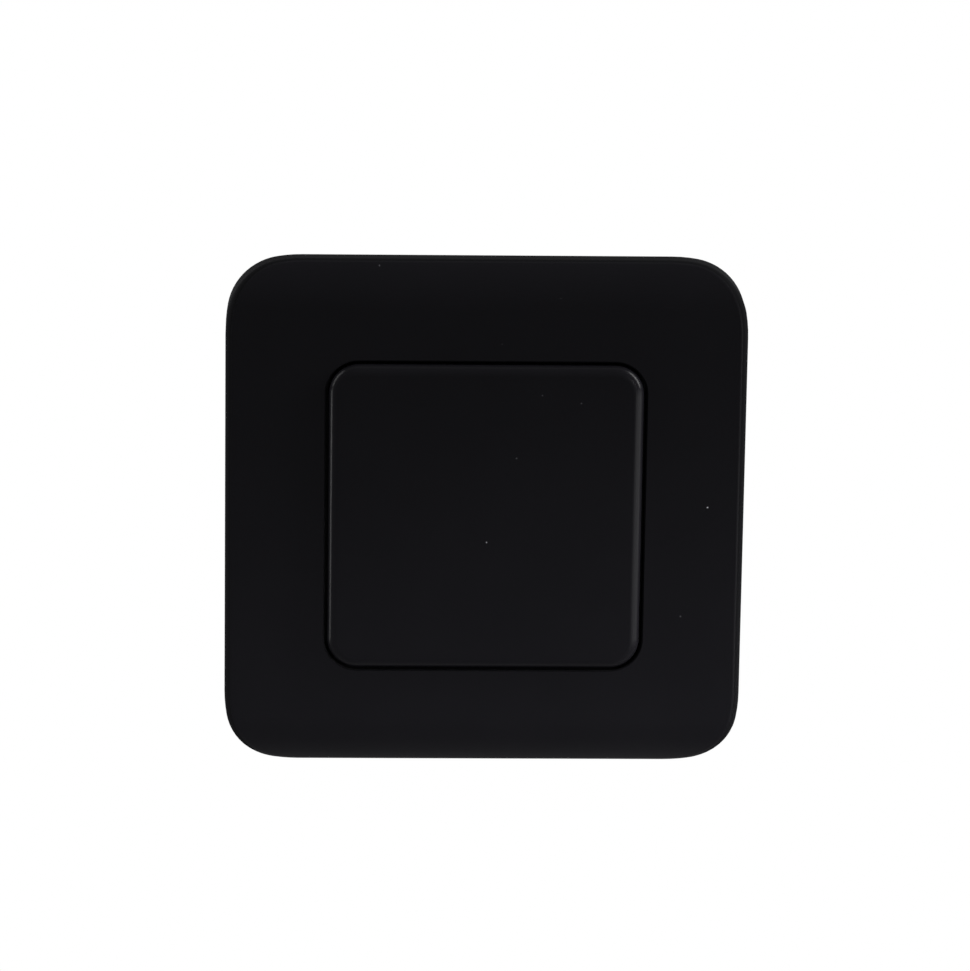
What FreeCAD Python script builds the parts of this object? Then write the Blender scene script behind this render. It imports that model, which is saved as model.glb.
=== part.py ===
import FreeCAD, Part
import math
import os

# Wireless rocker wall switch, in millimetres.
# Each piece is drawn lying on its back: x to the right, y up the wall, z off the wall.
# stand() turns it upright, so the finished part has +Z up and +Y into the wall.

Vector = FreeCAD.Vector

# Front frame
plate_side = 80.0           # width and height over the frame
nose_radius = 9.2           # tightest curve, in the middle of each corner
shoulder_radius = 22.0      # easy curve that leads into it from either side
shoulder_turn = 10.0        # degrees turned by each easy curve
rim_gap = 3.0               # wall to the frame's rear edge
frame_deep = 6.2            # rear edge to the flat of the face
bow_width = 7.2             # along the top and bottom, this much of the face bends back
bow_drop = 2.8              # how far it has bent back at the edge
edge_round = 1.2            # rounding of the front edge, all the way round
frame_wall = 1.8            # moulded thickness
rear_bevel = 0.35           # outer rear edge
window_bevel = 0.2          # front edge of the window
skirt_wall = 1.2            # wall that hangs behind the window's edge
rib_thick = 1.0
rib_deep = 1.0
rib_offset = 13.0           # stiffening ribs, from the middle of each side
pry_width = 10.0            # slot for lifting the frame off with a screwdriver
pry_high = 1.2

# Snap catches between frame and housing
catch_offset = 21.0         # from the middle of each side
catch_long = 8.0
catch_reach = 0.9           # how far a catch stands off the frame's inner face
catch_low = 0.7             # its foot, above the frame's rear edge
catch_high = 1.0
catch_flat = 0.4            # flat part of its tip, above the lead-in slope
snap_room = 0.3             # play around a catch
snap_lift = 0.1             # play between a catch and the ledge that holds it
ledge_wall = 0.7            # housing wall above that ledge

# Rocker
rocker_side = 48.4
rocker_corner = 4.6
rocker_round = 1.6          # rounding of the rocker's front edge
rocker_gap = 0.4            # slit around the rocker
rocker_proud = 1.0          # how far it stands off the frame's face
rocker_plate = 1.8
rocker_wall = 1.3
cross_rib = 7.6             # stiffening ribs behind it, from its middle
upright_rib = 11.4
rocker_tilt = 2.0           # degrees each way
stop_gap = 0.05             # left between the rocker's edge and the deck when it is pressed
pin_radius = 1.0
pin_long = 2.3
pivot_wall = 1.4            # plate that carries a pivot pin
pivot_inset = 3.6           # rocker's side to the outside of that plate
pusher_long = 1.2
pusher_half = 1.6
pusher_tip = 2.0            # radius of the rounded tip
lever = 15.4                # pivot to the middle of each push switch
touch_gap = 0.03            # between a pusher and its plunger

# Rear housing
floor_thick = 1.6
housing_wall = 1.6
housing_bevel = 0.7
slide_gap = 0.3             # between the housing and the frame around it
wall_screw_pitch = 60.0     # between the two wall-screw holes
wall_screw_hole = 2.1
fence_wall = 1.2            # wall that carries the edge of the deck
fence_inset = 0.6
pad_recess = 0.4            # shallow recesses in the back for adhesive pads
pad_wide = 18.0
pad_high = 52.0
pad_offset = 16.0
pad_corner = 2.0
boss_radius = 2.7           # bosses for the carrier screws
boss_inset = 3.0            # rocker's inner face to the middle of a boss
rail_long = 34.0
rail_wide = 1.6
rail_offset = 13.0

# Circuit board
board_side = 44.0
board_thick = 1.0
board_lift = 0.4
board_gap = 0.5             # around the bosses
board_margin = 1.65         # to the fence around it
part_room = 1.2             # board to the deck

# Rocker carrier
deck_thick = 1.2
deck_lap = 1.0              # how far the deck reaches past the window's edge
deck_corner = 4.0
skirt_gap = 0.3             # deck to the frame's hanging wall
pivot_rise = 0.8            # pivot above the deck
bearing_clearance = 0.05
bearing_wall = 0.75
bearing_wide = 1.8
bearing_mouth = 1.7         # narrower than the pin, so that it snaps in
bearing_top = 1.35          # pivot to the trimmed top of a bearing
side_play = 0.3
leg_side = 2.2              # legs that hold the board down
leg_inset = 1.3             # board's edge to a leg
leg_offset = 10.0

# Carrier screws
screw_core = 1.0
screw_bite = 0.02           # left between the thread and its pilot hole
screw_long = 4.2
screw_pass = 1.2            # radius of the hole in the deck
pilot_spare = 0.3
head_radius = 1.9
head_high = 1.2

# Coin cell and its contacts
cell_radius = 10.0
cell_high = 3.2
cap_radius = 8.7
cap_high = 0.3
cell_gap = 0.6              # cell to the opening in the deck
contact_long = 14.0
contact_wide = 7.0
contact_hole = 1.5
contact_thick = 0.2
clip_sheet = 0.3
clip_half = 4.0             # half its width
clip_gap = 1.2              # cell to the inside of the clip
clip_foot = 2.0
clip_bend = 0.6
clip_slot_long = 12.0
clip_slot_wide = 2.4
clip_room = 0.6             # clip to the notch in the deck

# Push switches
tact_side = 6.2
tact_high = 3.4             # board to the top of the cover
tact_floor = 0.5
tact_room = 0.4             # switch to the opening in the deck
cover_sheet = 0.25
cover_seat = 0.02
flap_wide = 4.0
flap_deep = 2.2
stem_radius = 1.6
stem_clearance = 0.08
flange_radius = 2.1
flange_thick = 0.6
flange_room = 0.3
lift_spare = 0.1            # flange to the cover when the plunger is fully out
dome_top = 1.2
dome_wall = 0.35
lead_thick = 0.2
lead_wide = 0.7
lead_reach = 1.1
lead_rise = 0.6
lead_offset = 2.2

# Parts on the board
chip_side = 5.0
chip_high = 0.9
chip_x = -11.0
crystal_long = 3.2
crystal_wide = 2.5
crystal_high = 0.7
crystal_gap = 0.8           # to the radio chip
antenna_long = 7.0
antenna_wide = 2.0
antenna_high = 1.0
antenna_edge = 0.8          # to the board's edge
tank_long = 3.5
tank_wide = 2.8
tank_high = 1.0
small_long = 1.6
small_wide = 0.8
capacitor_high = 0.8
resistor_high = 0.45
small_pitch = 1.8
small_gap = 1.2
small_count = 4

# Heights off the wall
frame_face = rim_gap + frame_deep
rocker_face = frame_face + rocker_proud
rocker_under = rocker_face - rocker_plate
ledge = rim_gap + catch_low + catch_high + snap_lift
housing_high = ledge + ledge_wall
board_low = floor_thick + board_lift
board_top = board_low + board_thick
deck_low = board_top + part_room
deck_top = deck_low + deck_thick
pivot_high = deck_top + pivot_rise
rocker_low = deck_top + rocker_side / 2 * math.sin(math.radians(rocker_tilt)) + stop_gap
cell_low = board_top + contact_thick
cell_top = cell_low + cell_high
cover_top = board_top + tact_high
cover_under = cover_top - cover_sheet
stroke = lever * math.sin(math.radians(rocker_tilt))
plunger_top = rocker_under - pusher_long - touch_gap
flange_top = cover_under - stroke - lift_spare
flange_low = flange_top - flange_thick

# Places across the wall
bow_start = plate_side / 2 - bow_width
bow_radius = (bow_width ** 2 + bow_drop ** 2) / (2 * bow_drop)
bow_turn = math.degrees(math.asin(bow_width / bow_radius))
window_side = rocker_side + 2 * rocker_gap
window_corner = rocker_corner + rocker_gap
fence_span = board_side + 2 * (board_margin + fence_wall)
deck_side = max(window_side + 2 * deck_lap, fence_span + 2 * fence_inset)
housing_inset = frame_wall + slide_gap
boss_place = rocker_side / 2 - rocker_wall - boss_inset
pivot_outer = rocker_side / 2 - pivot_inset
pivot_inner = pivot_outer - pivot_wall
bearing_outer = pivot_inner - side_play
bearing_inner = bearing_outer - bearing_wide
bearing_bore = pin_radius + bearing_clearance
bearing_radius = bearing_bore + bearing_wall
clip_inside = cell_radius + clip_gap
clip_outside = clip_inside + clip_sheet
stem_hole = stem_radius + stem_clearance
tact_bore = flange_radius + flange_room

overlap = 0.2               # how far a feature is sunk into the body it joins
quarters = (0, 90, 180, 270)
halves = (0, 180)


def box(x0, x1, y0, y1, z0, z1):
    return Part.makeBox(x1 - x0, y1 - y0, z1 - z0, Vector(x0, y0, z0))


def centred_box(x, y, long, wide, z0, z1):
    return box(x - long / 2, x + long / 2, y - wide / 2, y + wide / 2, z0, z1)


def post(x, y, radius, z0, z1):
    return Part.makeCylinder(radius, z1 - z0, Vector(x, y, z0))


def axle(x0, x1, radius):
    # A bar on the rocker's pivot line
    return Part.makeCylinder(radius, x1 - x0, Vector(x0, 0, pivot_high), Vector(1, 0, 0))


def rounded_block(wide, high, corner, z0, z1, x=0.0):
    block = centred_box(x, 0, wide, high, z0, z1)
    upright = [edge for edge in block.Edges if abs(edge.tangentAt(edge.FirstParameter).z) > 0.9]
    return block.makeFillet(corner, upright)


def joined(first, *others):
    return first.fuse(list(others)).removeSplitter()


def turned(shape, angle):
    return shape.rotated(Vector(0, 0, 0), Vector(0, 0, 1), angle)


def mirrored(shape):
    return shape.mirror(Vector(0, 0, 0), Vector(1, 0, 0))


def flipped(point):
    return Vector(point.x, -point.y, point.z)


def edges_at(shape, height):
    return [edge for edge in shape.Edges
            if abs(edge.BoundBox.ZMin - height) < 1e-4 and abs(edge.BoundBox.ZMax - height) < 1e-4]


def inside_square(edge, half):
    return max(abs(edge.CenterOfMass.x), abs(edge.CenterOfMass.y)) < half


def polar(radius, angle):
    return Vector(radius * math.cos(math.radians(angle)), radius * math.sin(math.radians(angle)), 0)


def soft_outline(inset, height):
    # The frame's outline drawn in by inset: four sides, and corners of three tangent arcs
    turn = math.radians(shoulder_turn)
    shoulder = shoulder_radius - inset
    nose = nose_radius - inset
    reach = shoulder * (math.sin(turn) + 1 - math.cos(turn)) + nose * (math.cos(turn) - math.sin(turn))
    half = plate_side / 2 - inset
    point = Vector(half, half - reach, height)
    corner = [Part.makeLine(Vector(half, reach - half, height), point)]
    heading = 0.0
    easy = (shoulder, shoulder_turn)
    tight = (nose, 90 - 2 * shoulder_turn)
    for radius, angle in (easy, tight, easy):
        centre = point - polar(radius, heading)
        middle = centre + polar(radius, heading + angle / 2)
        end = centre + polar(radius, heading + angle)
        corner.append(Part.Arc(point, middle, end).toShape())
        point = end
        heading += angle
    return Part.Wire([turned(edge, quarter) for quarter in quarters for edge in corner])


def soft_block(inset, z0, z1):
    return Part.Face(soft_outline(inset, z0)).extrude(Vector(0, 0, z1 - z0))


def bowed_bar(inset):
    # A bar as wide as the frame with its front profile, drawn in by inset: flat, with bent ends
    radius = bow_radius - inset
    centre = Vector(0, bow_start, frame_face - bow_radius)
    bend_start, bend_middle, bend_end = [
        centre + Vector(0, radius * math.sin(math.radians(angle)), radius * math.cos(math.radians(angle)))
        for angle in (0, bow_turn / 2, bow_turn)
    ]
    slope = math.tan(math.radians(bow_turn))
    tail = bend_end + Vector(0, frame_wall, -frame_wall * slope)
    upper = [
        Part.Arc(bend_start, bend_middle, bend_end).toShape(),
        Part.makeLine(bend_end, tail),
        Part.makeLine(tail, Vector(0, tail.y, 0)),
    ]
    across = [
        Part.makeLine(flipped(bend_start), bend_start),
        Part.makeLine(flipped(Vector(0, tail.y, 0)), Vector(0, tail.y, 0)),
    ]
    lower_half = [edge.mirror(Vector(0, 0, 0), Vector(0, 1, 0)) for edge in upper]
    profile = Part.Wire(Part.__sortEdges__(upper + across + lower_half))
    bar = Part.Face(profile).extrude(Vector(plate_side, 0, 0))
    return bar.translated(Vector(-plate_side / 2, 0, 0))


def front_edges(block):
    # The outer edges of its front, which only one front face has
    edges = []
    for face in block.Faces:
        first_u, last_u, first_v, last_v = face.ParameterRange
        if face.normalAt((first_u + last_u) / 2, (first_v + last_v) / 2).z > 0.1:
            edges += face.Edges
    return [edge for edge in edges if sum(edge.isSame(other) for other in edges) == 1]


def frame_block():
    # The frame's outside, with its front edge rounded
    block = soft_block(0, rim_gap, frame_face).common(bowed_bar(0))
    block = block.makeFillet(edge_round, front_edges(block))
    return block.makeChamfer(rear_bevel, edges_at(block, rim_gap))


def frame_cavity():
    # The hollow behind the frame, one wall thickness inside its front and sides
    return soft_block(frame_wall, rim_gap, frame_face - frame_wall).common(bowed_bar(frame_wall))


def frame_catch():
    # One catch on the inner face of the frame's right side, sloped to ride over the housing
    face = plate_side / 2 - frame_wall
    foot = rim_gap + catch_low
    top = foot + catch_high
    profile = Part.makePolygon([
        Vector(face + overlap, 0, foot),
        Vector(face, 0, foot),
        Vector(face - catch_reach, 0, top - catch_flat),
        Vector(face - catch_reach, 0, top),
        Vector(face + overlap, 0, top),
        Vector(face + overlap, 0, foot),
    ])
    catch = Part.Face(profile).extrude(Vector(0, catch_long, 0))
    return catch.translated(Vector(0, -catch_long / 2, 0))


def front_frame():
    inner_face = frame_face - frame_wall
    skirt_low = deck_top + skirt_gap
    skirt_side = window_side + 2 * skirt_wall
    skirt_corner = window_corner + skirt_wall
    skirt = rounded_block(skirt_side, skirt_side, skirt_corner, skirt_low, inner_face + overlap)
    rib = box(window_side / 2 + overlap, plate_side / 2 - frame_wall, -rib_thick / 2, rib_thick / 2,
              inner_face - rib_deep, inner_face + overlap)
    features = [skirt]
    for quarter in quarters:
        for way in (-1, 1):
            features.append(turned(rib.translated(Vector(0, way * rib_offset, 0)), quarter))
            features.append(turned(frame_catch().translated(Vector(0, way * catch_offset, 0)), quarter))
    block = frame_block()
    frame = joined(block.cut(frame_cavity()), *features).common(block)
    frame = frame.cut(rounded_block(window_side, window_side, window_corner, skirt_low - 1, frame_face + 1))
    lip = [edge for edge in edges_at(frame, frame_face) if inside_square(edge, window_side / 2 + overlap)]
    frame = frame.makeChamfer(window_bevel, lip)
    pry = box(-pry_width / 2, pry_width / 2, -plate_side / 2 - 1, -plate_side / 2 + frame_wall + overlap,
              rim_gap - 1, rim_gap + pry_high)
    return frame.cut(pry)


def rocker():
    key = rounded_block(rocker_side, rocker_side, rocker_corner, rocker_low, rocker_face)
    key = key.makeFillet(rocker_round, edges_at(key, rocker_face))
    inside = rocker_side - 2 * rocker_wall
    key = key.cut(rounded_block(inside, inside, rocker_corner - rocker_wall, rocker_low - 1, rocker_under))
    rib_long = inside + 2 * overlap
    rib_low = rocker_under - rib_deep
    rib_top = rocker_under + overlap
    features = []
    for way in (-1, 1):
        features.append(centred_box(0, way * cross_rib, rib_long, rib_thick, rib_low, rib_top))
        features.append(centred_box(way * upright_rib, 0, rib_thick, rib_long, rib_low, rib_top))
        features.append(pusher(way * lever))
    plate_half = pin_radius + bearing_wall
    plate = joined(
        box(pivot_inner, pivot_outer, -plate_half, plate_half, pivot_high, rocker_under + overlap),
        axle(pivot_inner, pivot_outer, plate_half),
        axle(pivot_inner - pin_long, pivot_inner + overlap, pin_radius),
    )
    return joined(key, plate, mirrored(plate), *features)


def pusher(y):
    # A short boss with a rounded tip that rests on a plunger
    low = rocker_under - pusher_long
    boss = centred_box(0, y, 2 * pusher_half, 2 * pusher_half, low, rocker_under + overlap)
    side = Vector(-pusher_half, y, low + pusher_tip)
    tip = Part.makeCylinder(pusher_tip, 2 * pusher_half, side, Vector(1, 0, 0))
    return boss.common(tip)


def bearing():
    # An open bearing on the right of the deck, with a mouth that a pin snaps through
    ear = joined(
        box(bearing_inner, bearing_outer, -bearing_radius, bearing_radius, deck_low, pivot_high),
        axle(bearing_inner, bearing_outer, bearing_radius),
    )
    mouth = box(bearing_inner - 1, bearing_outer + 1, -bearing_mouth / 2, bearing_mouth / 2,
                pivot_high, pivot_high + bearing_radius + 1)
    trim = box(bearing_inner - 1, bearing_outer + 1, -bearing_radius - 1, bearing_radius + 1,
               pivot_high + bearing_top, pivot_high + bearing_radius + 1)
    return ear.cut([mouth, trim, axle(bearing_inner - 1, bearing_outer + 1, bearing_bore)])


def rocker_carrier():
    deck = rounded_block(deck_side, deck_side, deck_corner, deck_low, deck_top)
    opening = cell_radius + cell_gap
    leg_x = board_side / 2 - leg_inset - leg_side / 2
    legs = [centred_box(sx * leg_x, sy * leg_offset, leg_side, leg_side, board_top, deck_low + overlap)
            for sx in (-1, 1) for sy in (-1, 1)]
    deck = joined(deck, *legs)
    slot_half = pin_radius + bearing_wall + 2 * side_play
    slot = box(bearing_inner - side_play, pivot_outer + side_play, -slot_half, slot_half,
               deck_low - 1, deck_top + 1)
    notch_long = 2 * (clip_outside + clip_room)
    notch_wide = 2 * (clip_half + clip_room)
    tact_hole = tact_side + 2 * tact_room
    tact_wide = tact_hole + 2 * lead_reach
    holes = [
        post(0, 0, opening, deck_low - 1, deck_top + 1),
        centred_box(0, 0, notch_long, notch_wide, deck_low - 1, deck_top + 1),
        slot,
        mirrored(slot),
    ]
    for way in (-1, 1):
        holes.append(centred_box(0, way * lever, tact_wide, tact_hole, deck_low - 1, deck_top + 1))
    for half in halves:
        holes.append(turned(post(boss_place, boss_place, screw_pass, deck_low - 1, deck_top + 1), half))
    deck = deck.cut(holes)
    web = box(bearing_inner - side_play - overlap, bearing_outer, -bearing_radius, bearing_radius,
              deck_low, deck_top)
    web = web.cut(axle(bearing_inner - 2, bearing_outer + 1, bearing_bore))
    ear = joined(bearing(), web)
    return joined(deck, ear, mirrored(ear))


def rear_housing():
    floor = soft_block(housing_inset, 0, floor_thick)
    floor = floor.makeChamfer(housing_bevel, edges_at(floor, 0))
    rim = soft_block(housing_inset, floor_thick - overlap, housing_high)
    rim = rim.cut(soft_block(housing_inset + housing_wall, floor_thick - 1, housing_high + 1))
    fence_side = deck_side - 2 * fence_inset
    fence_inside = fence_side - 2 * fence_wall
    fence = rounded_block(fence_side, fence_side, deck_corner, floor_thick - overlap, deck_low)
    fence = fence.cut(centred_box(0, 0, fence_inside, fence_inside, 0, deck_low + 1))
    additions = [rim, fence]
    holes = []
    outside = plate_side / 2 - housing_inset
    pocket_half = catch_long / 2 + snap_room
    pocket = box(outside - catch_reach, outside + 1, -pocket_half, pocket_half,
                 rim_gap + catch_low - snap_room, ledge)
    for quarter in quarters:
        for way in (-1, 1):
            holes.append(turned(pocket.translated(Vector(0, way * catch_offset, 0)), quarter))
    pilot_end = deck_top - screw_long - pilot_spare
    boss = post(boss_place, boss_place, boss_radius, floor_thick - overlap, deck_low)
    pilot = post(boss_place, boss_place, screw_core + screw_bite, pilot_end, deck_low + 1)
    hole = post(wall_screw_pitch / 2, 0, wall_screw_hole, -1, floor_thick + 1)
    rail = centred_box(rail_offset, 0, rail_wide, rail_long, floor_thick - overlap, board_low)
    pad = rounded_block(pad_wide, pad_high, pad_corner, -1, pad_recess, pad_offset)
    for half in halves:
        additions += [turned(boss, half), turned(rail, half)]
        holes += [turned(pilot, half), turned(hole, half), turned(pad, half)]
    return joined(floor, *additions).cut(holes)


def circuit_board():
    board = centred_box(0, 0, board_side, board_side, board_low, board_top)
    notch = boss_place - boss_radius - board_gap
    corner = box(notch, board_side, notch, board_side, board_low - 1, board_top + 1)
    return board.cut([turned(corner, half) for half in halves])


def coin_cell():
    can = post(0, 0, cell_radius, cell_low + cap_high, cell_top)
    return joined(can, post(0, 0, cap_radius, cell_low, cell_low + cap_high))


def negative_contact():
    # A stamped plate on the board, with a hole in its middle, that the cell lies on
    plate = centred_box(0, 0, contact_wide, contact_long, board_top, cell_low)
    return plate.cut(post(0, 0, contact_hole, board_top - 1, cell_low + 1))


def battery_clip():
    # A stamped strip that arches over the cell, with a soldered foot on either side
    arch = box(-clip_outside, clip_outside, -clip_half, clip_half, board_top, cell_top + clip_sheet)
    bends = [edge for edge in edges_at(arch, cell_top + clip_sheet) if abs(edge.CenterOfMass.x) > 1]
    arch = arch.makeFillet(clip_bend, bends)
    hollow = box(-clip_inside, clip_inside, -clip_half - 1, clip_half + 1, board_top - 1, cell_top)
    bends = [edge for edge in edges_at(hollow, cell_top) if abs(edge.CenterOfMass.x) > 1]
    arch = arch.cut(hollow.makeFillet(clip_bend - clip_sheet, bends))
    slot = centred_box(0, 0, clip_slot_long, clip_slot_wide, cell_top - 1, cell_top + 1)
    foot = box(clip_inside, clip_outside + clip_foot, -clip_half, clip_half,
               board_top, board_top + clip_sheet)
    return joined(arch, foot, mirrored(foot)).cut(slot)


def carrier_screws():
    head = post(boss_place, boss_place, head_radius, deck_top, deck_top + head_high)
    shank = post(boss_place, boss_place, screw_core, deck_top - screw_long, deck_top)
    screw = joined(head, shank)
    return Part.makeCompound([turned(screw, half) for half in halves])


def tact_base():
    deep = tact_side - 2 * (cover_sheet + cover_seat)
    body = centred_box(0, lever, tact_side, deep, board_top, cover_under)
    return body.cut(post(0, lever, tact_bore, board_top + tact_floor, cover_under + 1))


def tact_cover():
    top = centred_box(0, lever, tact_side, tact_side, cover_under, cover_top)
    flaps = []
    for way in (-1, 1):
        y = lever + way * (tact_side - cover_sheet) / 2
        flaps.append(centred_box(0, y, flap_wide, cover_sheet, cover_under - flap_deep, cover_top))
    return joined(top, *flaps).cut(post(0, lever, stem_hole, cover_under - 1, cover_top + 1))


def plunger():
    stem = post(0, lever, stem_radius, flange_low, plunger_top)
    return joined(stem, post(0, lever, flange_radius, flange_low, flange_top))


def return_dome():
    # A hollow rubber cone that pushes the plunger out
    low = board_top + tact_floor
    foot = Vector(0, lever, low)
    cone = Part.makeCone(flange_radius, dome_top, flange_low - low, foot)
    return cone.cut(post(0, lever, dome_top - dome_wall, low, flange_low - dome_wall))


def tact_terminals():
    # Four bent leads, from the switch's sides down to the board
    start = tact_side / 2
    end = start + lead_reach
    arm = box(start, start + lead_reach / 2, -lead_wide / 2, lead_wide / 2,
              board_top + lead_rise, board_top + lead_rise + lead_thick)
    drop = box(start + lead_reach / 2 - lead_thick, start + lead_reach / 2, -lead_wide / 2, lead_wide / 2,
               board_top, board_top + lead_rise + lead_thick)
    foot = box(start + lead_reach / 2 - lead_thick, end, -lead_wide / 2, lead_wide / 2,
               board_top, board_top + lead_thick)
    lead = joined(arm, drop, foot)
    leads = []
    for way in (-1, 1):
        placed = lead.translated(Vector(0, lever + way * lead_offset, 0))
        leads += [placed, mirrored(placed)]
    return Part.makeCompound(leads)


def lower(shape):
    # The lower push switch is the upper one turned half round
    return turned(shape, 180)


def radio_chip():
    return centred_box(chip_x, lever, chip_side, chip_side, board_top, board_top + chip_high)


def crystal():
    y = lever + chip_side / 2 + crystal_gap + crystal_wide / 2
    return centred_box(chip_x, y, crystal_long, crystal_wide, board_top, board_top + crystal_high)


def chip_antenna():
    y = board_side / 2 - antenna_edge - antenna_wide / 2
    return centred_box(-chip_x, y, antenna_long, antenna_wide, board_top, board_top + antenna_high)


def tank_capacitor():
    return centred_box(-chip_x, -lever, tank_long, tank_wide, board_top, board_top + tank_high)


def chip_row(x, y, high):
    # A row of small chip parts, each lying along x
    first = y - small_pitch * (small_count - 1) / 2
    return Part.makeCompound([
        centred_box(x, first + small_pitch * index, small_long, small_wide, board_top, board_top + high)
        for index in range(small_count)
    ])


def chip_capacitors():
    return chip_row(chip_x + chip_side / 2 + small_gap + small_long / 2, lever, capacitor_high)


def chip_resistors():
    return chip_row(chip_x, -lever, resistor_high)


def stand(shape):
    return shape.rotated(Vector(0, 0, 0), Vector(1, 0, 0), 90)


os.makedirs("parts", exist_ok=True)
pieces = {
    "front_frame": front_frame(),
    "rocker": rocker(),
    "rocker_carrier": rocker_carrier(),
    "rear_housing": rear_housing(),
    "circuit_board": circuit_board(),
    "coin_cell": coin_cell(),
    "negative_contact": negative_contact(),
    "battery_clip": battery_clip(),
    "carrier_screws": carrier_screws(),
    "upper_tact_base": tact_base(),
    "upper_tact_cover": tact_cover(),
    "upper_plunger": plunger(),
    "upper_return_dome": return_dome(),
    "upper_tact_terminals": tact_terminals(),
    "lower_tact_base": lower(tact_base()),
    "lower_tact_cover": lower(tact_cover()),
    "lower_plunger": lower(plunger()),
    "lower_return_dome": lower(return_dome()),
    "lower_tact_terminals": lower(tact_terminals()),
    "radio_chip": radio_chip(),
    "crystal": crystal(),
    "chip_antenna": chip_antenna(),
    "tank_capacitor": tank_capacitor(),
    "chip_capacitors": chip_capacitors(),
    "chip_resistors": chip_resistors(),
}
for name, shape in pieces.items():
    stand(shape).exportStep("parts/" + name + ".step")
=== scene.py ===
import math
import bmesh
import bpy
from mathutils import Matrix, Vector


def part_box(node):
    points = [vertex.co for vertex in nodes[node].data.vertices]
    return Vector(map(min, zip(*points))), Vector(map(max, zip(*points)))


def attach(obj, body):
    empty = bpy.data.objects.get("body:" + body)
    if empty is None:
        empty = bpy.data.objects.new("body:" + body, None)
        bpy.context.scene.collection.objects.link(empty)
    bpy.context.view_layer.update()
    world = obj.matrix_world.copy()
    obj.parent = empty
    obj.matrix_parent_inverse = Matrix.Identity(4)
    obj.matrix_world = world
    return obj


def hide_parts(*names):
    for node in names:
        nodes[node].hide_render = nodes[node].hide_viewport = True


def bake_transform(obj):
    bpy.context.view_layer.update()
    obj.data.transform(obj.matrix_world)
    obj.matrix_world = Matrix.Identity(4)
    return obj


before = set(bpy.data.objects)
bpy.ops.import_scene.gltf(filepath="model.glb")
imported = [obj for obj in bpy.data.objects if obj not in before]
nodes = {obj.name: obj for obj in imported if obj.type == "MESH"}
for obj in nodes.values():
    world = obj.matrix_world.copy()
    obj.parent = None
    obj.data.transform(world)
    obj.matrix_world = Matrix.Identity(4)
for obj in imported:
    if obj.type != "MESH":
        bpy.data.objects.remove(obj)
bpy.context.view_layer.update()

scene = bpy.context.scene
scene.view_settings.view_transform = "Standard"
mm = 0.001
print("frame loaded:", len(nodes), "nodes")


shot = {
    "azimuth": -2.147,         # degrees, the camera stands a little to the left
    "elevation": 15.255,
    "roll": 0.854,
    "distance": 0.9,           # metres from the middle of the wall face
    "focalPixels": 5786.7,
    "imageSize": (970, 971),
    "originPixel": (482.81, 501.46),   # where the middle of the wall face lands
    "sensor": 36.0,
}


def placeCamera(spec):
    turn, lift, roll = (math.radians(spec[key]) for key in ("azimuth", "elevation", "roll"))
    back = Vector((math.sin(turn) * math.cos(lift), -math.cos(turn) * math.cos(lift), math.sin(lift)))
    flatRight = Vector((math.cos(turn), math.sin(turn), 0))
    flatUp = back.cross(flatRight)
    right = math.cos(roll) * flatRight + math.sin(roll) * flatUp
    up = math.cos(roll) * flatUp - math.sin(roll) * flatRight
    wide, high = spec["imageSize"]
    data = bpy.data.cameras.new("productCamera")
    data.sensor_fit = "HORIZONTAL"
    data.sensor_width = spec["sensor"]
    data.lens = spec["focalPixels"] / wide * spec["sensor"]
    data.shift_x = (wide / 2 - spec["originPixel"][0]) / wide
    data.shift_y = (spec["originPixel"][1] - high / 2) / wide
    data.clip_end = 50
    camera = bpy.data.objects.new("productCamera", data)
    scene.collection.objects.link(camera)
    turned = Matrix((right, up, back)).transposed().to_4x4()
    camera.matrix_world = Matrix.Translation(back * spec["distance"]) @ turned
    scene.camera = camera


placeCamera(shot)
print("camera placed")


def addNode(tree, kind, inputs=None, **settings):
    # a node with its settings, and each input either linked or given a value
    node = tree.nodes.new(kind)
    for key, value in settings.items():
        setattr(node, key, value)
    for key, value in (inputs or {}).items():
        if isinstance(value, bpy.types.NodeSocket):
            tree.links.new(value, node.inputs[key])
        else:
            node.inputs[key].default_value = value
    return node


def mathNode(tree, operation, first, second=0.0):
    return addNode(tree, "ShaderNodeMath", {0: first, 1: second}, operation=operation).outputs[0]


def vectorNode(tree, operation, first, second=(0, 0, 0)):
    return addNode(tree, "ShaderNodeVectorMath", {0: first, 1: second}, operation=operation).outputs


studio = {
    "floorDrop": 1.1,          # metres below the part's middle, as high as a switch hangs
    "floorSide": 14.0,
    "floorColour": (0.8, 0.8, 0.8, 1),
    "worldStrength": 0.08,
}
lamps = {
    # place, aim, size, watts, spread in degrees
    "topSoftbox": ((0.0, -0.05, 0.8), (0, 0, 0), (0.8, 0.3), 0.7, 180),
    "rightPanel": ((0.66, -0.24, -0.15), (0, 0, 0), (0.5, 0.2), 2.4, 180),
    "rightFront": ((0.45, -0.54, -0.17), (0, 0, 0), (0.36, 0.14), 1.3, 180),
    "leftPanel": ((-0.7, 0.0, -0.15), (0, 0, 0), (0.2, 0.2), 3.0, 180),
    "leftRear": ((-0.63, 0.3, -0.15), (0, 0, 0), (0.3, 0.2), 1.0, 180),
    "leftHigh": ((-0.615, -0.065, 0.33), (0, 0, 0), (0.11, 0.55), 5.0, 180),
    "rightHigh": ((0.615, -0.065, 0.33), (0, 0, 0), (0.11, 0.55), 11.0, 180),
    "frontGrid": ((0.47, -0.67, 0.12), (0, 0, -0.495), (0.12, 0.05), 6.4, 60),
    "underFill": ((0.0, -0.08, -0.45), (0, 0, 0), (0.6, 0.3), 0.15, 180),
}


def seenByViewers(tree):
    # true where the camera, a mirror or glass looks, so that those see plain white
    path = tree.nodes.new("ShaderNodeLightPath").outputs
    either = mathNode(tree, "MAXIMUM", path["Is Camera Ray"], path["Is Glossy Ray"])
    return mathNode(tree, "MAXIMUM", either, path["Is Transmission Ray"])


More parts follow.
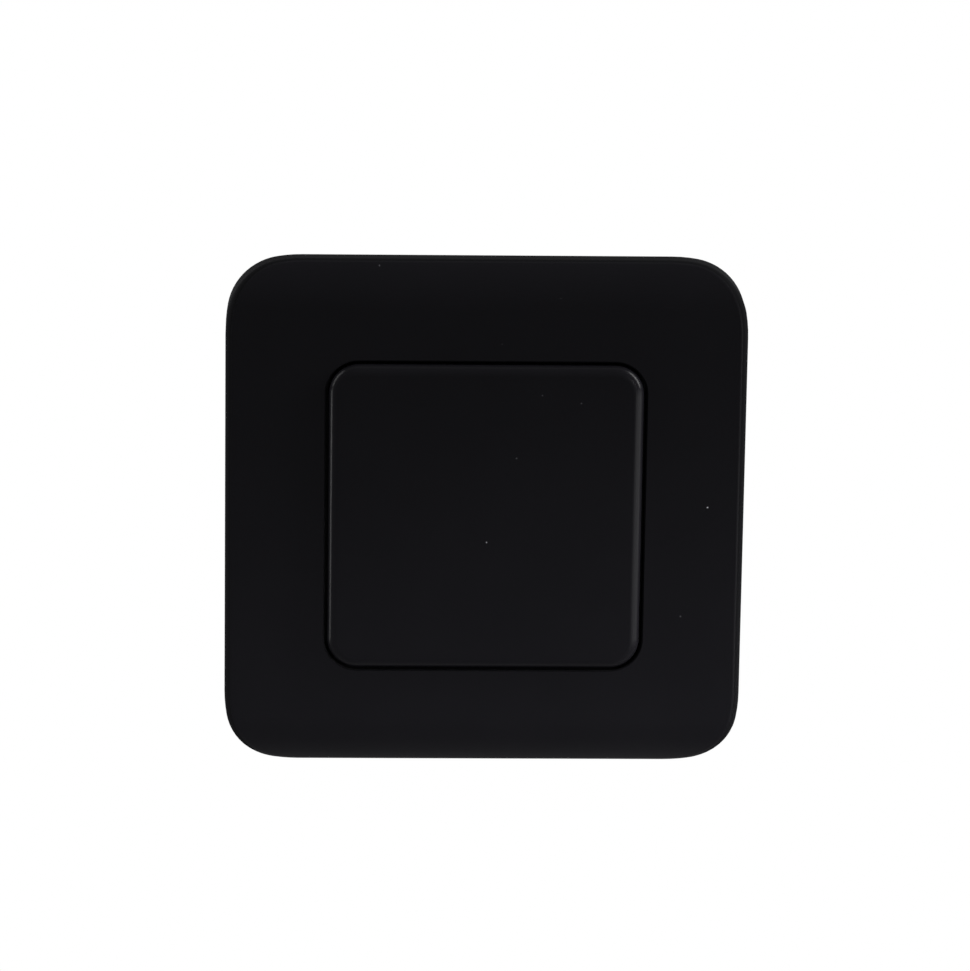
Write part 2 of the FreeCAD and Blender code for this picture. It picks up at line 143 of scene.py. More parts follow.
def whiteBackground(tree, plain, white, outputKind):
    mix = addNode(tree, "ShaderNodeMixShader", {
        0: seenByViewers(tree), 1: plain.outputs[0], 2: white.outputs[0]})
    addNode(tree, outputKind, {"Surface": mix.outputs[0]})


def buildWorld():
    scene.world = bpy.data.worlds.new("studioWorld")
    scene.world.use_nodes = True
    tree = scene.world.node_tree
    tree.nodes.clear()
    plain = addNode(tree, "ShaderNodeBackground", {"Strength": studio["worldStrength"]})
    white = addNode(tree, "ShaderNodeBackground", {"Color": (1, 1, 1, 1), "Strength": 1.0})
    whiteBackground(tree, plain, white, "ShaderNodeOutputWorld")


def buildFloor():
    half = studio["floorSide"] / 2
    low = -studio["floorDrop"]
    mesh = bpy.data.meshes.new("paleFloor")
    corners = [(-half, -half, low), (half, -half, low), (half, half, low), (-half, half, low)]
    mesh.from_pydata(corners, [], [(0, 1, 2, 3)])
    floor = bpy.data.objects.new("paleFloor", mesh)
    scene.collection.objects.link(floor)
    material = bpy.data.materials.new("paleFloor")
    material.use_nodes = True
    tree = material.node_tree
    tree.nodes.clear()
    matt = addNode(tree, "ShaderNodeBsdfDiffuse", {"Color": studio["floorColour"]})
    white = addNode(tree, "ShaderNodeEmission", {"Color": (1, 1, 1, 1), "Strength": 1.0})
    whiteBackground(tree, matt, white, "ShaderNodeOutputMaterial")
    mesh.materials.append(material)


def buildLamps():
    for name, (place, aim, size, watts, beam) in lamps.items():
        data = bpy.data.lights.new(name, "AREA")
        data.shape = "RECTANGLE"
        data.size, data.size_y = size
        data.energy = watts
        data.spread = math.radians(beam)
        lamp = bpy.data.objects.new(name, data)
        lamp.location = place
        lamp.rotation_mode = "QUATERNION"
        lamp.rotation_quaternion = (Vector(aim) - Vector(place)).to_track_quat("-Z", "Y")
        lamp.visible_camera = False
        scene.collection.objects.link(lamp)


buildWorld()
buildFloor()
buildLamps()
print("studio lit:", len(lamps), "lamps")


def startGroup(name, inputs, outputs):
    # a shader group with named sockets; returns its tree, its inputs to read and its outputs to feed
    tree = bpy.data.node_groups.new(name, "ShaderNodeTree")
    for label, kind, value in inputs:
        socket = tree.interface.new_socket(label, in_out="INPUT", socket_type="NodeSocket" + kind)
        if value is not None:
            socket.default_value = value
    for label, kind in outputs:
        tree.interface.new_socket(label, in_out="OUTPUT", socket_type="NodeSocket" + kind)
    return tree, tree.nodes.new("NodeGroupInput").outputs, tree.nodes.new("NodeGroupOutput").inputs


def buildMouldGrain():
    # the fine spark-eroded grain of a mould, and the slow clouding of a moulded face
    tree, given, result = startGroup(
        "mouldGrain",
        [("Vector", "Vector", None), ("Grain Scale", "Float", 4000.0), ("Cloud Scale", "Float", 60.0)],
        [("Height", "Float"), ("Clouding", "Float")],
    )
    fine = addNode(tree, "ShaderNodeTexNoise", {
        "Vector": given["Vector"], "Scale": given["Grain Scale"], "Detail": 2.0, "Roughness": 0.55})
    cloud = addNode(tree, "ShaderNodeTexNoise", {
        "Vector": given["Vector"], "Scale": given["Cloud Scale"], "Detail": 3.0, "Roughness": 0.6})
    tree.links.new(fine.outputs[0], result["Height"])
    tree.links.new(cloud.outputs[0], result["Clouding"])
    return tree


def buildDustFlecks():
    # a thin scatter of dust: a few cells out of many hold a fleck
    tree, given, result = startGroup(
        "dustFlecks",
        [("Vector", "Vector", None), ("Cells", "Float", 400.0),
         ("Share", "Float", 0.05), ("Size", "Float", 0.1)],
        [("Mask", "Float")],
    )
    cells = addNode(tree, "ShaderNodeTexVoronoi", {"Vector": given["Vector"], "Scale": given["Cells"]})
    chance = addNode(tree, "ShaderNodeSeparateColor", {0: cells.outputs["Color"]})
    holds = mathNode(tree, "LESS_THAN", chance.outputs[0], given["Share"])
    reach = mathNode(tree, "MULTIPLY", chance.outputs[1], given["Size"])
    near = mathNode(tree, "LESS_THAN", cells.outputs["Distance"], reach)
    tree.links.new(mathNode(tree, "MULTIPLY", holds, near), result["Mask"])
    return tree


def buildDustSpeck():
    # one soft-edged speck at a given place
    tree, given, result = startGroup(
        "dustSpeck",
        [("Vector", "Vector", None), ("Place", "Vector", None),
         ("Radius", "Float", 0.2 * mm), ("Strength", "Float", 1.0)],
        [("Mask", "Float")],
    )
    away = vectorNode(tree, "DISTANCE", given["Vector"], given["Place"])["Value"]
    fade = addNode(tree, "ShaderNodeMapRange", {
        "Value": away, "From Min": 0.0, "From Max": given["Radius"],
        "To Min": given["Strength"], "To Max": 0.0}, interpolation_type="SMOOTHSTEP")
    tree.links.new(fade.outputs[0], result["Mask"])
    return tree


def buildBrushing():
    # fine lines drawn out along one direction
    tree, given, result = startGroup(
        "brushing",
        [("Vector", "Vector", None), ("Draw", "Vector", (1, 1, 1)), ("Scale", "Float", 3000.0)],
        [("Height", "Float")],
    )
    drawn = vectorNode(tree, "MULTIPLY", given["Vector"], given["Draw"])[0]
    lines = addNode(tree, "ShaderNodeTexNoise", {"Vector": drawn, "Scale": given["Scale"], "Detail": 3.0})
    tree.links.new(lines.outputs[0], result["Height"])
    return tree


def buildEndBand():
    # the plated ends of a chip part that lies along x
    tree, given, result = startGroup(
        "endBand",
        [("Vector", "Vector", None), ("Middle", "Float", 0.0), ("Body Half", "Float", 0.5 * mm)],
        [("Mask", "Float")],
    )
    across = addNode(tree, "ShaderNodeSeparateXYZ", {0: given["Vector"]}).outputs[0]
    away = mathNode(tree, "ABSOLUTE", mathNode(tree, "SUBTRACT", across, given["Middle"]))
    tree.links.new(mathNode(tree, "GREATER_THAN", away, given["Body Half"]), result["Mask"])
    return tree


groups = {
    "mouldGrain": buildMouldGrain(),
    "dustFlecks": buildDustFlecks(),
    "dustSpeck": buildDustSpeck(),
    "brushing": buildBrushing(),
    "endBand": buildEndBand(),
}
print("shader groups built:", len(groups))


def useGroup(tree, name, inputs):
    return addNode(tree, "ShaderNodeGroup", inputs, node_tree=groups[name]).outputs


def startMaterial(name, specular=0.5, metallic=0.0):
    # returns the material, its tree, its shader and the Object coordinates
    material = bpy.data.materials.new(name)
    material.use_nodes = True
    tree = material.node_tree
    shader = tree.nodes["Principled BSDF"]
    shader.inputs["Specular IOR Level"].default_value = specular
    shader.inputs["Metallic"].default_value = metallic
    place = tree.nodes.new("ShaderNodeTexCoord").outputs["Object"]
    return material, tree, shader, place


def feedShader(tree, shader, sources):
    for key, source in sources.items():
        tree.links.new(source, shader.inputs[key])


def mixColour(tree, mask, first, second):
    mix = addNode(tree, "ShaderNodeMix", {0: mask, 6: first, 7: second}, data_type="RGBA")
    return mix.outputs[2]


def spread(tree, value, low, high):
    # a 0 to 1 value stretched between two others
    return addNode(tree, "ShaderNodeMapRange", {
        "Value": value, "To Min": low, "To Max": high}).outputs[0]


def bumpFrom(tree, height, depth):
    return addNode(tree, "ShaderNodeBump", {
        "Height": height, "Distance": depth, "Strength": 1.0}).outputs[0]


dust = {
    "tint": (0.42, 0.42, 0.45, 1),
    "cells": 450.0,            # cells in a metre, few of which hold a fleck
    "share": 0.012,
    "size": 0.07,
    "scatter": 0.02,           # how strongly the scatter shows beside the specks
    "speckRadius": 0.19 * mm,
}
# the specks that show: place across, up and off the wall in millimetres, and how bright
frameSpecks = [
    ((-16.56, 39.15, 7.1), 0.12),
    ((34.32, 1.73, 9.2), 0.8),
    ((30.56, -15.8, 9.2), 0.10),
]
rockerSpecks = [
    ((-2.1, 23.35, 10.2), 0.12),
    ((8.51, 19.63, 10.2), 0.08),
    ((14.51, 18.41, 10.2), 0.10),
    ((4.69, 9.64, 10.2), 0.12),
    ((0.28, -3.76, 10.2), 0.5),
]


def dustMask(tree, place, specks):
    flecks = useGroup(tree, "dustFlecks", {
        "Vector": place, "Cells": dust["cells"], "Share": dust["share"], "Size": dust["size"]})
    mask = mathNode(tree, "MULTIPLY", flecks["Mask"], dust["scatter"])
    for (across, up, off), strength in specks:
        speck = useGroup(tree, "dustSpeck", {
            "Vector": place, "Place": (across * mm, -off * mm, up * mm),
            "Radius": dust["speckRadius"], "Strength": strength})
        mask = mathNode(tree, "MAXIMUM", mask, speck["Mask"])
    return mask


# the frame's form, to tell its side walls from its face
frameForm = {
    "bowWidth": 7.2 * mm,      # along the top and bottom, this much of the face bends back
    "bowDrop": 2.8 * mm,       # how far it has bent back at the edge
    "fade": (0.02 * mm, 0.08 * mm),    # depth below the face where the side's matt finish and painted shade begin and are full
}


def sideMattAndShadeMask(tree, place):
    # how far a point lies below the bowed face, as 0 on the face and 1 on the side walls
    low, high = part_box("front_frame")
    width, drop = frameForm["bowWidth"], frameForm["bowDrop"]
    radius = (width ** 2 + drop ** 2) / (2 * drop)
    axes = addNode(tree, "ShaderNodeSeparateXYZ", {0: place}).outputs
    along = mathNode(tree, "SUBTRACT", mathNode(tree, "ABSOLUTE", axes[2]), high.z - width)
    along = mathNode(tree, "MINIMUM", mathNode(tree, "MAXIMUM", along, 0.0), radius)
    rise = mathNode(tree, "SUBTRACT", radius ** 2, mathNode(tree, "MULTIPLY", along, along))
    bow = mathNode(tree, "SUBTRACT", radius, mathNode(tree, "SQRT", rise))
    below = mathNode(tree, "ADD", mathNode(tree, "SUBTRACT", -low.y, bow), axes[1])
    first, full = frameForm["fade"]
    return addNode(tree, "ShaderNodeMapRange", {
        "Value": below, "From Min": first, "From Max": full}, interpolation_type="SMOOTHSTEP").outputs[0]


def mouldedMaterial(name, spec, specks=()):
    material, tree, shader, place = startMaterial(name, spec["specular"])
    grain = useGroup(tree, "mouldGrain", {
        "Vector": place, "Grain Scale": spec["grainScale"], "Cloud Scale": spec["cloudScale"]})
    tint = mixColour(tree, grain["Clouding"], spec["darkTint"], spec["lightTint"])
    rough = spread(tree, grain["Clouding"], *spec["roughness"])
    if "sideRoughness" in spec:
        side = sideMattAndShadeMask(tree, place)
        # the side walls' darker tint is painted shade, laid over the plastic's colour
        tint = mixColour(tree, side, tint, spec["sideShadeTint"])
        rough = spread(tree, side, rough, spec["sideRoughness"])
    if specks:
        tint = mixColour(tree, dustMask(tree, place, specks), tint, dust["tint"])
    bump = bumpFrom(tree, grain["Height"], spec["grainDepth"])
    feedShader(tree, shader, {"Base Color": tint, "Roughness": rough, "Normal": bump})
    return material


def paint(material, *names):
    for name in names:
        nodes[name].data.materials.clear()
        nodes[name].data.materials.append(material)


# the two parts that are seen: satin black with a violet cast
satinBlack = {
    "darkTint": (0.0033, 0.0032, 0.0040, 1),
    "lightTint": (0.0045, 0.0043, 0.0053, 1),
    "roughness": (0.21, 0.28),
    "specular": 0.03,
    "grainScale": 6500.0,      # grains in a metre
    "cloudScale": 55.0,
    "grainDepth": 0.001 * mm,  # shallow, as the high side lamps rake across it
}
# the frame's sides are matt, with no sheen of the backdrop, and painted darker as shade
frameBlack = dict(satinBlack, sideRoughness=0.9, sideShadeTint=(0.0024, 0.0024, 0.0028, 1))
paint(mouldedMaterial("frameBlack", frameBlack, frameSpecks), "front_frame")
paint(mouldedMaterial("rockerBlack", satinBlack, rockerSpecks), "rocker")

# housing and carrier: a rougher black, as moulded
housingBlack = {
    "darkTint": (0.0050, 0.0050, 0.0055, 1),
    "lightTint": (0.0080, 0.0080, 0.0086, 1),
    "roughness": (0.46, 0.58),
    "specular": 0.12,
    "grainScale": 2400.0,
    "cloudScale": 70.0,
    "grainDepth": 0.014 * mm,
}
paint(mouldedMaterial("housingBlack", housingBlack), "rear_housing", "rocker_carrier")

# push switches: body, plunger and return dome
switchBlack = {
    "darkTint": (0.012, 0.012, 0.013, 1),
    "lightTint": (0.018, 0.018, 0.019, 1),
    "roughness": (0.40, 0.52),
    "specular": 0.3,
    "grainScale": 5000.0,
    "cloudScale": 240.0,
    "grainDepth": 0.004 * mm,
}
plungerIvory = {
    "darkTint": (0.55, 0.52, 0.44, 1),
    "lightTint": (0.66, 0.63, 0.55, 1),
    "roughness": (0.34, 0.46),
    "specular": 0.4,
    "grainScale": 6000.0,
    "cloudScale": 400.0,
    "grainDepth": 0.003 * mm,
}
domeRubber = {
    "darkTint": (0.055, 0.056, 0.060, 1),
    "lightTint": (0.085, 0.086, 0.090, 1),
    "roughness": (0.70, 0.82),
    "specular": 0.25,
    "grainScale": 5000.0,
    "cloudScale": 300.0,
    "grainDepth": 0.006 * mm,
}
paint(mouldedMaterial("switchBlack", switchBlack), "upper_tact_base", "lower_tact_base")
paint(mouldedMaterial("plungerIvory", plungerIvory), "upper_plunger", "lower_plunger")
rubberMaterial = mouldedMaterial("domeRubber", domeRubber)
paint(rubberMaterial, "upper_return_dome", "lower_return_dome")
print("mouldings painted")


def metalMaterial(name, spec):
    material, tree, shader, place = startMaterial(name, metallic=1.0)
    if spec["turned"]:   # rings about the cell's axis, from the distance to it
        flat = vectorNode(tree, "MULTIPLY", place, (1, 0, 1))[0]
        ring = vectorNode(tree, "LENGTH", flat)["Value"]
        place = addNode(tree, "ShaderNodeCombineXYZ", {0: ring}).outputs[0]
    lines = useGroup(tree, "brushing", {
        "Vector": place, "Draw": spec["draw"], "Scale": spec["lineScale"]})["Height"]
    feedShader(tree, shader, {
        "Base Color": mixColour(tree, lines, spec["darkTint"], spec["lightTint"]),
        "Roughness": spread(tree, lines, *spec["roughness"]),
        "Normal": bumpFrom(tree, lines, spec["lineDepth"]),
    })
    return material


cellSteel = {
    "darkTint": (0.50, 0.49, 0.47, 1),
    "lightTint": (0.66, 0.65, 0.63, 1),
    "roughness": (0.22, 0.34),
    "turned": True,
    "draw": (1, 0, 0),
    "lineScale": 2600.0,
    "lineDepth": 0.002 * mm,
}
tinPlate = {
    "darkTint": (0.58, 0.57, 0.54, 1),
    "lightTint": (0.72, 0.71, 0.68, 1),
    "roughness": (0.28, 0.42),
    "turned": False,
    "draw": (0.08, 1, 1),
    "lineScale": 4000.0,
    "lineDepth": 0.002 * mm,
}
coverSteel = {
    "darkTint": (0.44, 0.44, 0.44, 1),
    "lightTint": (0.58, 0.58, 0.58, 1),
    "roughness": (0.26, 0.40),
    "turned": False,
    "draw": (1, 1, 0.08),
    "lineScale": 4500.0,
    "lineDepth": 0.002 * mm,
}
paint(metalMaterial("cellSteel", cellSteel), "coin_cell")
tinMaterial = metalMaterial("tinPlate", tinPlate)
paint(tinMaterial, "negative_contact", "battery_clip", "upper_tact_terminals", "lower_tact_terminals")
paint(metalMaterial("coverSteel", coverSteel), "upper_tact_cover", "lower_tact_cover")
print("metals painted")


board = {
    "maskTint": (0.010, 0.075, 0.030, 1),
    "traceTint": (0.022, 0.130, 0.052, 1),
    "roughness": (0.30, 0.42),
    "specular": 0.4,
    "grainScale": 3000.0,
    "cloudScale": 120.0,
    "traceScale": 520.0,       # lines about 0.6 mm apart
    "traceShare": 0.72,        # above this the wave is a trace
    "blocks": 150.0,           # blocks in a metre, each with lines one way, the other or none
    "blockShares": (0.4, 0.6),     # lines one way below the first, the other way above the second
    "traceHigh": 0.03 * mm,
}


def boardMaterial():
    material, tree, shader, place = startMaterial("boardLaminate", board["specular"])
    block = addNode(tree, "ShaderNodeTexVoronoi", {
        "Vector": place, "Scale": board["blocks"]}, distance="CHEBYCHEV")
    chance = addNode(tree, "ShaderNodeSeparateColor", {0: block.outputs["Color"]}).outputs[0]
    traces = []
    ways = zip(("X", "Z"), ("LESS_THAN", "GREATER_THAN"), board["blockShares"])
    for way, test, edge in ways:
        wave = addNode(tree, "ShaderNodeTexWave", {
            "Vector": place, "Scale": board["traceScale"]}, bands_direction=way).outputs["Fac"]
        line = mathNode(tree, "GREATER_THAN", wave, board["traceShare"])
        traces.append(mathNode(tree, "MULTIPLY", line, mathNode(tree, test, chance, edge)))
    trace = mathNode(tree, "MAXIMUM", *traces)
    grain = useGroup(tree, "mouldGrain", {
        "Vector": place, "Grain Scale": board["grainScale"], "Cloud Scale": board["cloudScale"]})
    feedShader(tree, shader, {
        "Base Color": mixColour(tree, trace, board["maskTint"], board["traceTint"]),
        "Roughness": spread(tree, grain["Clouding"], *board["roughness"]),
        "Normal": bumpFrom(tree, trace, board["traceHigh"]),
    })
    return material


paint(boardMaterial(), "circuit_board")

# parts on the board: darker and lighter body colour, and how long each plated end is
boardParts = {
    "radio_chip": ((0.010, 0.010, 0.011, 1), (0.016, 0.016, 0.017, 1), 0.0),
    "crystal": ((0.40, 0.38, 0.34, 1), (0.50, 0.48, 0.43, 1), 0.5 * mm),
    "chip_antenna": ((0.62, 0.63, 0.64, 1), (0.74, 0.75, 0.75, 1), 0.8 * mm),
    "tank_capacitor": ((0.40, 0.22, 0.035, 1), (0.52, 0.30, 0.055, 1), 0.35 * mm),
    "chip_capacitors": ((0.30, 0.20, 0.11, 1), (0.38, 0.26, 0.15, 1), 0.35 * mm),
    "chip_resistors": ((0.014, 0.014, 0.015, 1), (0.022, 0.022, 0.023, 1), 0.3 * mm),
}
boardPartFinish = {
    "roughness": (0.32, 0.52),
    "specular": 0.4,
    "grainScale": 9000.0,
    "cloudScale": 700.0,
    "grainDepth": 0.003 * mm,
    "endSpare": 0.01 * mm,     # keeps the plating off a part that has none
}


def boardPartMaterial(name, dark, light, endLong):
    finish = boardPartFinish
    material, tree, shader, place = startMaterial(name + "Body", finish["specular"])
    low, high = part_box(name)
    ends = useGroup(tree, "endBand", {
        "Vector": place, "Middle": (low.x + high.x) / 2,
        "Body Half": (high.x - low.x) / 2 - endLong + finish["endSpare"]})["Mask"]
    grain = useGroup(tree, "mouldGrain", {
        "Vector": place, "Grain Scale": finish["grainScale"], "Cloud Scale": finish["cloudScale"]})
    body = mixColour(tree, grain["Clouding"], dark, light)
    feedShader(tree, shader, {
        "Base Color": mixColour(tree, ends, body, tinPlate["lightTint"]),
        "Metallic": ends,
        "Roughness": spread(tree, grain["Height"], *finish["roughness"]),
        "Normal": bumpFrom(tree, grain["Height"], finish["grainDepth"]),
    })
    return material


for name, (dark, light, endLong) in boardParts.items():
    paint(boardPartMaterial(name, dark, light, endLong), name)
print("board and its parts painted")


sharpFrom = math.radians(35)   # edges that turn more than this stay sharp


def finishPiece(name, mesh):
    # faces outwards, soft shading with the edges kept sharp, and an object at the origin
    shell = bmesh.new()
    shell.from_mesh(mesh)
    bmesh.ops.recalc_face_normals(shell, faces=shell.faces)
    shell.to_mesh(mesh)
    shell.free()
    mesh.shade_smooth()
    mesh.set_sharp_from_angle(angle=sharpFrom)
    piece = bpy.data.objects.new(name, mesh)
    scene.collection.objects.link(piece)
    return piece


def startNodes(name, inputs):
    # a Geometry Nodes group; returns its tree, its inputs to read and its result to feed
    tree = bpy.data.node_groups.new(name, "GeometryNodeTree")
    tree.interface.new_socket("Geometry", in_out="INPUT", socket_type="NodeSocketGeometry")
    for label, kind in inputs:
        tree.interface.new_socket(label, in_out="INPUT", socket_type="NodeSocket" + kind)
    tree.interface.new_socket("Geometry", in_out="OUTPUT", socket_type="NodeSocketGeometry")
    return tree, tree.nodes.new("NodeGroupInput").outputs, tree.nodes.new("NodeGroupOutput").inputs[0]


def endNodes(tree, instances, material, result):
    real = addNode(tree, "GeometryNodeRealizeInstances", {0: instances})
    painted = addNode(tree, "GeometryNodeSetMaterial", {
        "Geometry": real.outputs[0], "Material": material})
    tree.links.new(painted.outputs[0], result)


def bakeNodes(name, tree, points, values, sizes=None):
    # runs the group over the points and keeps what it makes as a plain mesh
    cloud = bpy.data.meshes.new(name + "Points")
    cloud.from_pydata(points, [], [])
    if sizes:
        store = cloud.attributes.new("size", "FLOAT_VECTOR", "POINT")
        for item, size in zip(store.data, sizes):
            item.vector = size
    carrier = bpy.data.objects.new(name + "Points", cloud)
    scene.collection.objects.link(carrier)
    modifier = carrier.modifiers.new(name, "NODES")
    modifier.node_group = tree
    for item in tree.interface.items_tree:
        if item.in_out == "INPUT" and item.name in values:
            modifier[item.identifier] = values[item.name]
    graph = bpy.context.evaluated_depsgraph_get()
    mesh = bpy.data.meshes.new_from_object(carrier.evaluated_get(graph))
    mesh.name = name
    bpy.data.objects.remove(carrier)
    return finishPiece(name, mesh)


screw = {
    "Head Radius": 1.9 * mm,
    "Head High": 1.2 * mm,
    "Core Radius": 0.78 * mm,
    "Thread Out": 0.2 * mm,
    "Pitch": 0.75 * mm,
}
screwShape = {
    "headSides": 48,
    "coreSides": 32,
    "rimHigh": 0.55,           # of the head's height, with the crown above it
    "rimTop": 0.97,            # of the head's radius
    "crownTop": 0.62,
    "crownSeat": 0.98,         # of the rim's height, so that the two overlap
    "armLong": 1.05,           # arms of the recess, of the head's radius
    "armWide": 0.22,
    "armDeep": 1.2,            # of the head's height, centred on its top
    "tip": 0.6,                # of the core's radius
    "woundLong": 0.86,         # of the shank's length
    "woundLow": 0.95,          # how far down it the thread begins
    "woundTip": 0.72,          # of the core's radius
    "turnSteps": 28,
    "ridgeSides": 4,
    "mostTurn": 1.5,           # radians, how differently the screws are driven
    "seed": 7,
}
screwZinc = {
    "darkTint": (0.42, 0.44, 0.47, 1),
    "lightTint": (0.56, 0.58, 0.61, 1),
    "roughness": (0.30, 0.44),
    "turned": False,
    "draw": (1, 0.2, 1),
    "lineScale": 3500.0,
    "lineDepth": 0.002 * mm,
}


def screwNodes():
    # a pan-head screw with a cross recess and a wound thread, one at each point
    tree, given, result = startNodes("carrierScrews", [
        ("Head Radius", "Float"), ("Head High", "Float"), ("Core Radius", "Float"),
        ("Shank Long", "Float"), ("Thread Out", "Float"), ("Pitch", "Float"), ("Finish", "Material")])

    def times(first, second):
        return mathNode(tree, "MULTIPLY", first, second)

    def raised(geometry, height):
        lift = addNode(tree, "ShaderNodeCombineXYZ", {2: height}).outputs[0]
        return addNode(tree, "GeometryNodeTransform", {
            "Geometry": geometry, "Translation": lift}).outputs[0]

    def cone(sides, bottom, top, tall):
        return addNode(tree, "GeometryNodeMeshCone", {
            "Vertices": sides, "Radius Bottom": bottom, "Radius Top": top, "Depth": tall}).outputs[0]

    shape = screwShape
    headRadius, headHigh = given["Head Radius"], given["Head High"]
    coreRadius, shankLong = given["Core Radius"], given["Shank Long"]
    rimHigh = times(headHigh, shape["rimHigh"])
    rimTop = times(headRadius, shape["rimTop"])
    rim = cone(shape["headSides"], headRadius, rimTop, rimHigh)
    crown = cone(shape["headSides"], rimTop, times(headRadius, shape["crownTop"]),
                 times(headHigh, 1 - shape["rimHigh"]))
    head = addNode(tree, "GeometryNodeMeshBoolean", operation="UNION", solver="EXACT")
    for part in (rim, raised(crown, times(rimHigh, shape["crownSeat"]))):
        tree.links.new(part, head.inputs[1])
    notched = addNode(tree, "GeometryNodeMeshBoolean", {
        0: head.outputs[0]}, operation="DIFFERENCE", solver="EXACT")
    long, wide = shape["armLong"], shape["armWide"]
    for across, along in ((long, wide), (wide, long)):
        arm = addNode(tree, "ShaderNodeCombineXYZ", {
            0: times(headRadius, across), 1: times(headRadius, along),
            2: times(headHigh, shape["armDeep"])}).outputs[0]
        block = addNode(tree, "GeometryNodeMeshCube", {"Size": arm}).outputs[0]
        tree.links.new(raised(block, headHigh), notched.inputs[1])
    core = cone(shape["coreSides"], times(coreRadius, shape["tip"]), coreRadius, shankLong)
    wound = times(shankLong, shape["woundLong"])
    spiral = addNode(tree, "GeometryNodeCurveSpiral", {
        "Resolution": shape["turnSteps"], "Rotations": mathNode(tree, "DIVIDE", wound, given["Pitch"]),
        "Start Radius": times(coreRadius, shape["woundTip"]), "End Radius": coreRadius, "Height": wound})
    ridge = addNode(tree, "GeometryNodeCurvePrimitiveCircle", {
        "Resolution": shape["ridgeSides"], "Radius": given["Thread Out"]})
    thread = addNode(tree, "GeometryNodeCurveToMesh", {
        "Curve": spiral.outputs[0], "Profile Curve": ridge.outputs[0], "Fill Caps": True}).outputs[0]
    whole = addNode(tree, "GeometryNodeJoinGeometry")
    shank = raised(core, times(shankLong, -1.0))
    for part in (notched.outputs[0], shank, raised(thread, times(shankLong, -shape["woundLow"]))):
        tree.links.new(part, whole.inputs[0])
    placed = addNode(tree, "GeometryNodeInstanceOnPoints", {
        "Points": given["Geometry"], "Instance": whole.outputs[0], "Rotation": (math.radians(90), 0, 0)})
    turn = addNode(tree, "FunctionNodeRandomValue", {
        2: 0.0, 3: shape["mostTurn"], "Seed": shape["seed"]}).outputs[1]
    about = addNode(tree, "ShaderNodeCombineXYZ", {2: turn})
    driven = addNode(tree, "GeometryNodeRotateInstances", {
        "Instances": placed.outputs[0], "Rotation": about.outputs[0], "Local Space": True})
    endNodes(tree, driven.outputs[0], given["Finish"], result)
    return tree


def buildScrews():
    low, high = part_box("carrier_screws")
    reach = screw["Head Radius"]
    seat = low.y + screw["Head High"]
    points = [(low.x + reach, seat, low.z + reach), (high.x - reach, seat, high.z - reach)]
    values = dict(screw)
    values["Shank Long"] = high.y - seat
    values["Finish"] = metalMaterial("screwZinc", screwZinc)
    piece = bakeNodes("carrierScrews", screwNodes(), points, values)
    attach(piece, "base")
    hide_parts("carrier_screws")
    return piece


solder = {
    "leadHalf": 0.35 * mm,     # half the width of a switch lead
    "leadSize": (0.34 * mm, 0.26 * mm, 0.46 * mm),
    "footSize": (0.5 * mm, 0.34 * mm, 3.6 * mm),
    "chipSize": (0.3 * mm, 0.34 * mm, 0.36 * mm),
    "leadInset": 0.12 * mm,    # end of a lead to the middle of its joint
    "footInset": 0.1 * mm,
    "chipInset": 0.0,
    "rowHalf": 0.4 * mm,       # half the width of a small chip part
    "rowCount": 4,
    "segments": 16,
    "rings": 10,
}


def solderNodes():
    # a mound of solder at each point, as big as the point's own size
    tree, given, result = startNodes("solderJoints", [("Finish", "Material")])
    mound = addNode(tree, "GeometryNodeMeshUVSphere", {
        "Segments": solder["segments"], "Rings": solder["rings"], "Radius": 1.0})
    size = addNode(tree, "GeometryNodeInputNamedAttribute", {"Name": "size"}, data_type="FLOAT_VECTOR")
    placed = addNode(tree, "GeometryNodeInstanceOnPoints", {
        "Points": given["Geometry"], "Instance": mound.outputs[0], "Scale": size.outputs[0]})
    endNodes(tree, placed.outputs[0], given["Finish"], result)
    return tree


def solderPlaces():
    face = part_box("circuit_board")[0].y   # the board's front
    places, sizes = [], []

    def addPair(node, heights, size, inset):
        low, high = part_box(node)
        for across in (low.x + inset, high.x - inset):
            for height in heights:
                places.append((across, face, height))
                sizes.append(size)

    for node in ("upper_tact_terminals", "lower_tact_terminals"):
        low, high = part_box(node)
        rows = (low.z + solder["leadHalf"], high.z - solder["leadHalf"])
        addPair(node, rows, solder["leadSize"], solder["leadInset"])
    addPair("battery_clip", (0.0,), solder["footSize"], solder["footInset"])
    for node in ("chip_capacitors", "chip_resistors"):
        low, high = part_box(node)
        first, last = low.z + solder["rowHalf"], high.z - solder["rowHalf"]
        step = (last - first) / (solder["rowCount"] - 1)
        rows = [first + step * index for index in range(solder["rowCount"])]
        addPair(node, rows, solder["chipSize"], solder["chipInset"])
    return places, sizes


def buildSolder():
    places, sizes = solderPlaces()
    piece = bakeNodes("solderJoints", solderNodes(), places, {"Finish": tinMaterial}, sizes)
    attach(piece, "base")
    return piece


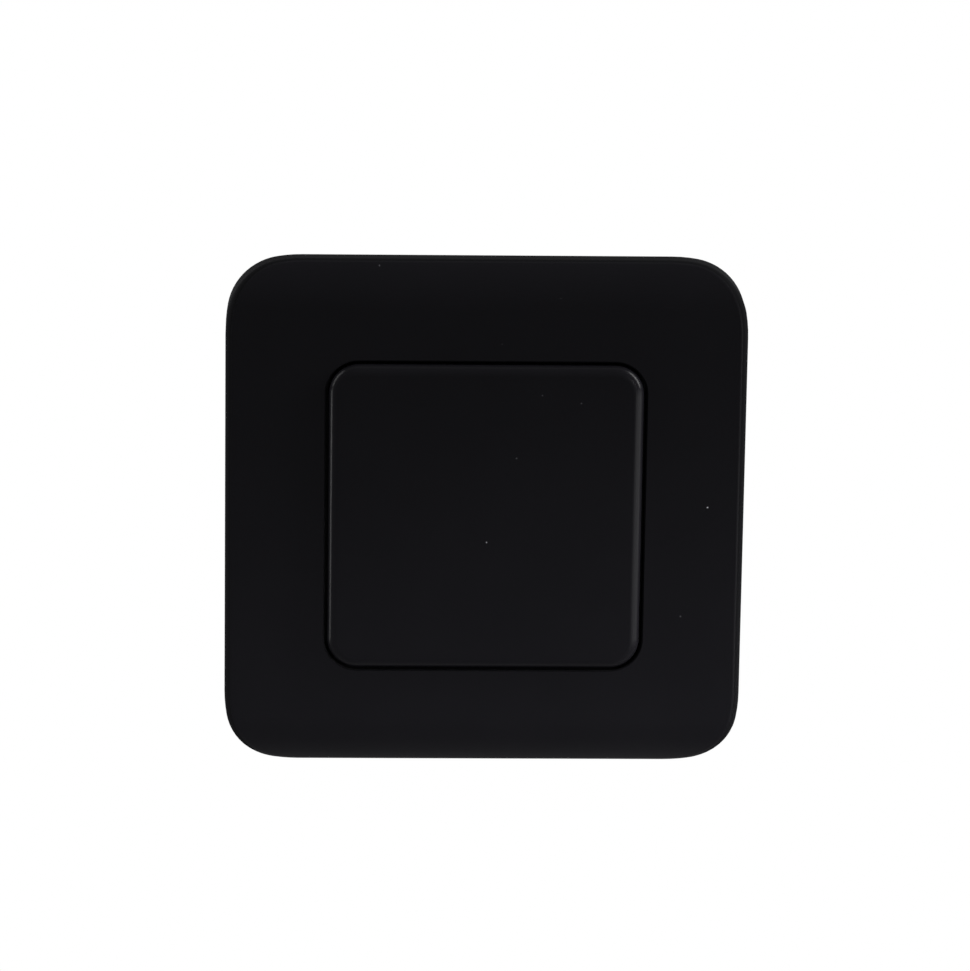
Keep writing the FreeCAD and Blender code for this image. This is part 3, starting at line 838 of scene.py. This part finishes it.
returnDome = {
    "topRadius": 1.2 * mm,
    "boreRadius": 0.85 * mm,
    "crown": 0.35 * mm,        # thickness over the bore
    "waist": 0.12 * mm,        # how far the flank curves in
    "rows": 8,
    "steps": 48,
}


def domeSection(footRadius, tall):
    # half the dome's section as radius and height: crown, flank, foot and bore
    section = [(0.0, tall)]
    for row in range(returnDome["rows"], -1, -1):
        share = row / returnDome["rows"]
        taper = footRadius + (returnDome["topRadius"] - footRadius) * share
        section.append((taper - returnDome["waist"] * math.sin(math.pi * share), tall * share))
    bore, under = returnDome["boreRadius"], tall - returnDome["crown"]
    return section + [(bore, 0.0), (bore, under), (0.0, under)]


def turnSection(section, foot, steps):
    # a ring for each point of the section, and one point for each of its two ends, which lie on the axis
    points = [foot - Vector((0, section[end][1], 0)) for end in (0, -1)]
    for radius, height in section[1:-1]:
        for step in range(steps):
            turn = 2 * math.pi * step / steps
            points.append(foot + Vector((radius * math.cos(turn), -height, radius * math.sin(turn))))
    starts = range(2, len(points), steps)   # first point of each ring, after the two ends
    faces = []
    for step in range(steps):
        after = (step + 1) % steps
        rings = [(start + step, start + after) for start in starts]
        faces.append((0, *rings[0]))
        faces += [(*near, *reversed(far)) for near, far in zip(rings, rings[1:])]
        faces.append((1, *rings[-1]))
    return points, faces


def buildDome(name, node):
    # a hollow rubber bell whose foot sits on the switch
    low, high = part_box(node)
    middle = (low + high) / 2
    foot = Vector((middle.x, high.y, middle.z))
    section = domeSection((high.x - low.x) / 2, high.y - low.y)
    points, faces = turnSection(section, foot, returnDome["steps"])
    mesh = bpy.data.meshes.new(name)
    mesh.from_pydata(points, [], faces)
    mesh.materials.append(rubberMaterial)
    piece = finishPiece(name, mesh)
    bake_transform(piece)
    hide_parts(node)


buildDome("upperDome", "upper_return_dome")
buildDome("lowerDome", "lower_return_dome")
print("return domes made")

screws = buildScrews()
solderJoints = buildSolder()
print("screws and solder made:", len(screws.data.polygons), "and", len(solderJoints.data.polygons), "faces")
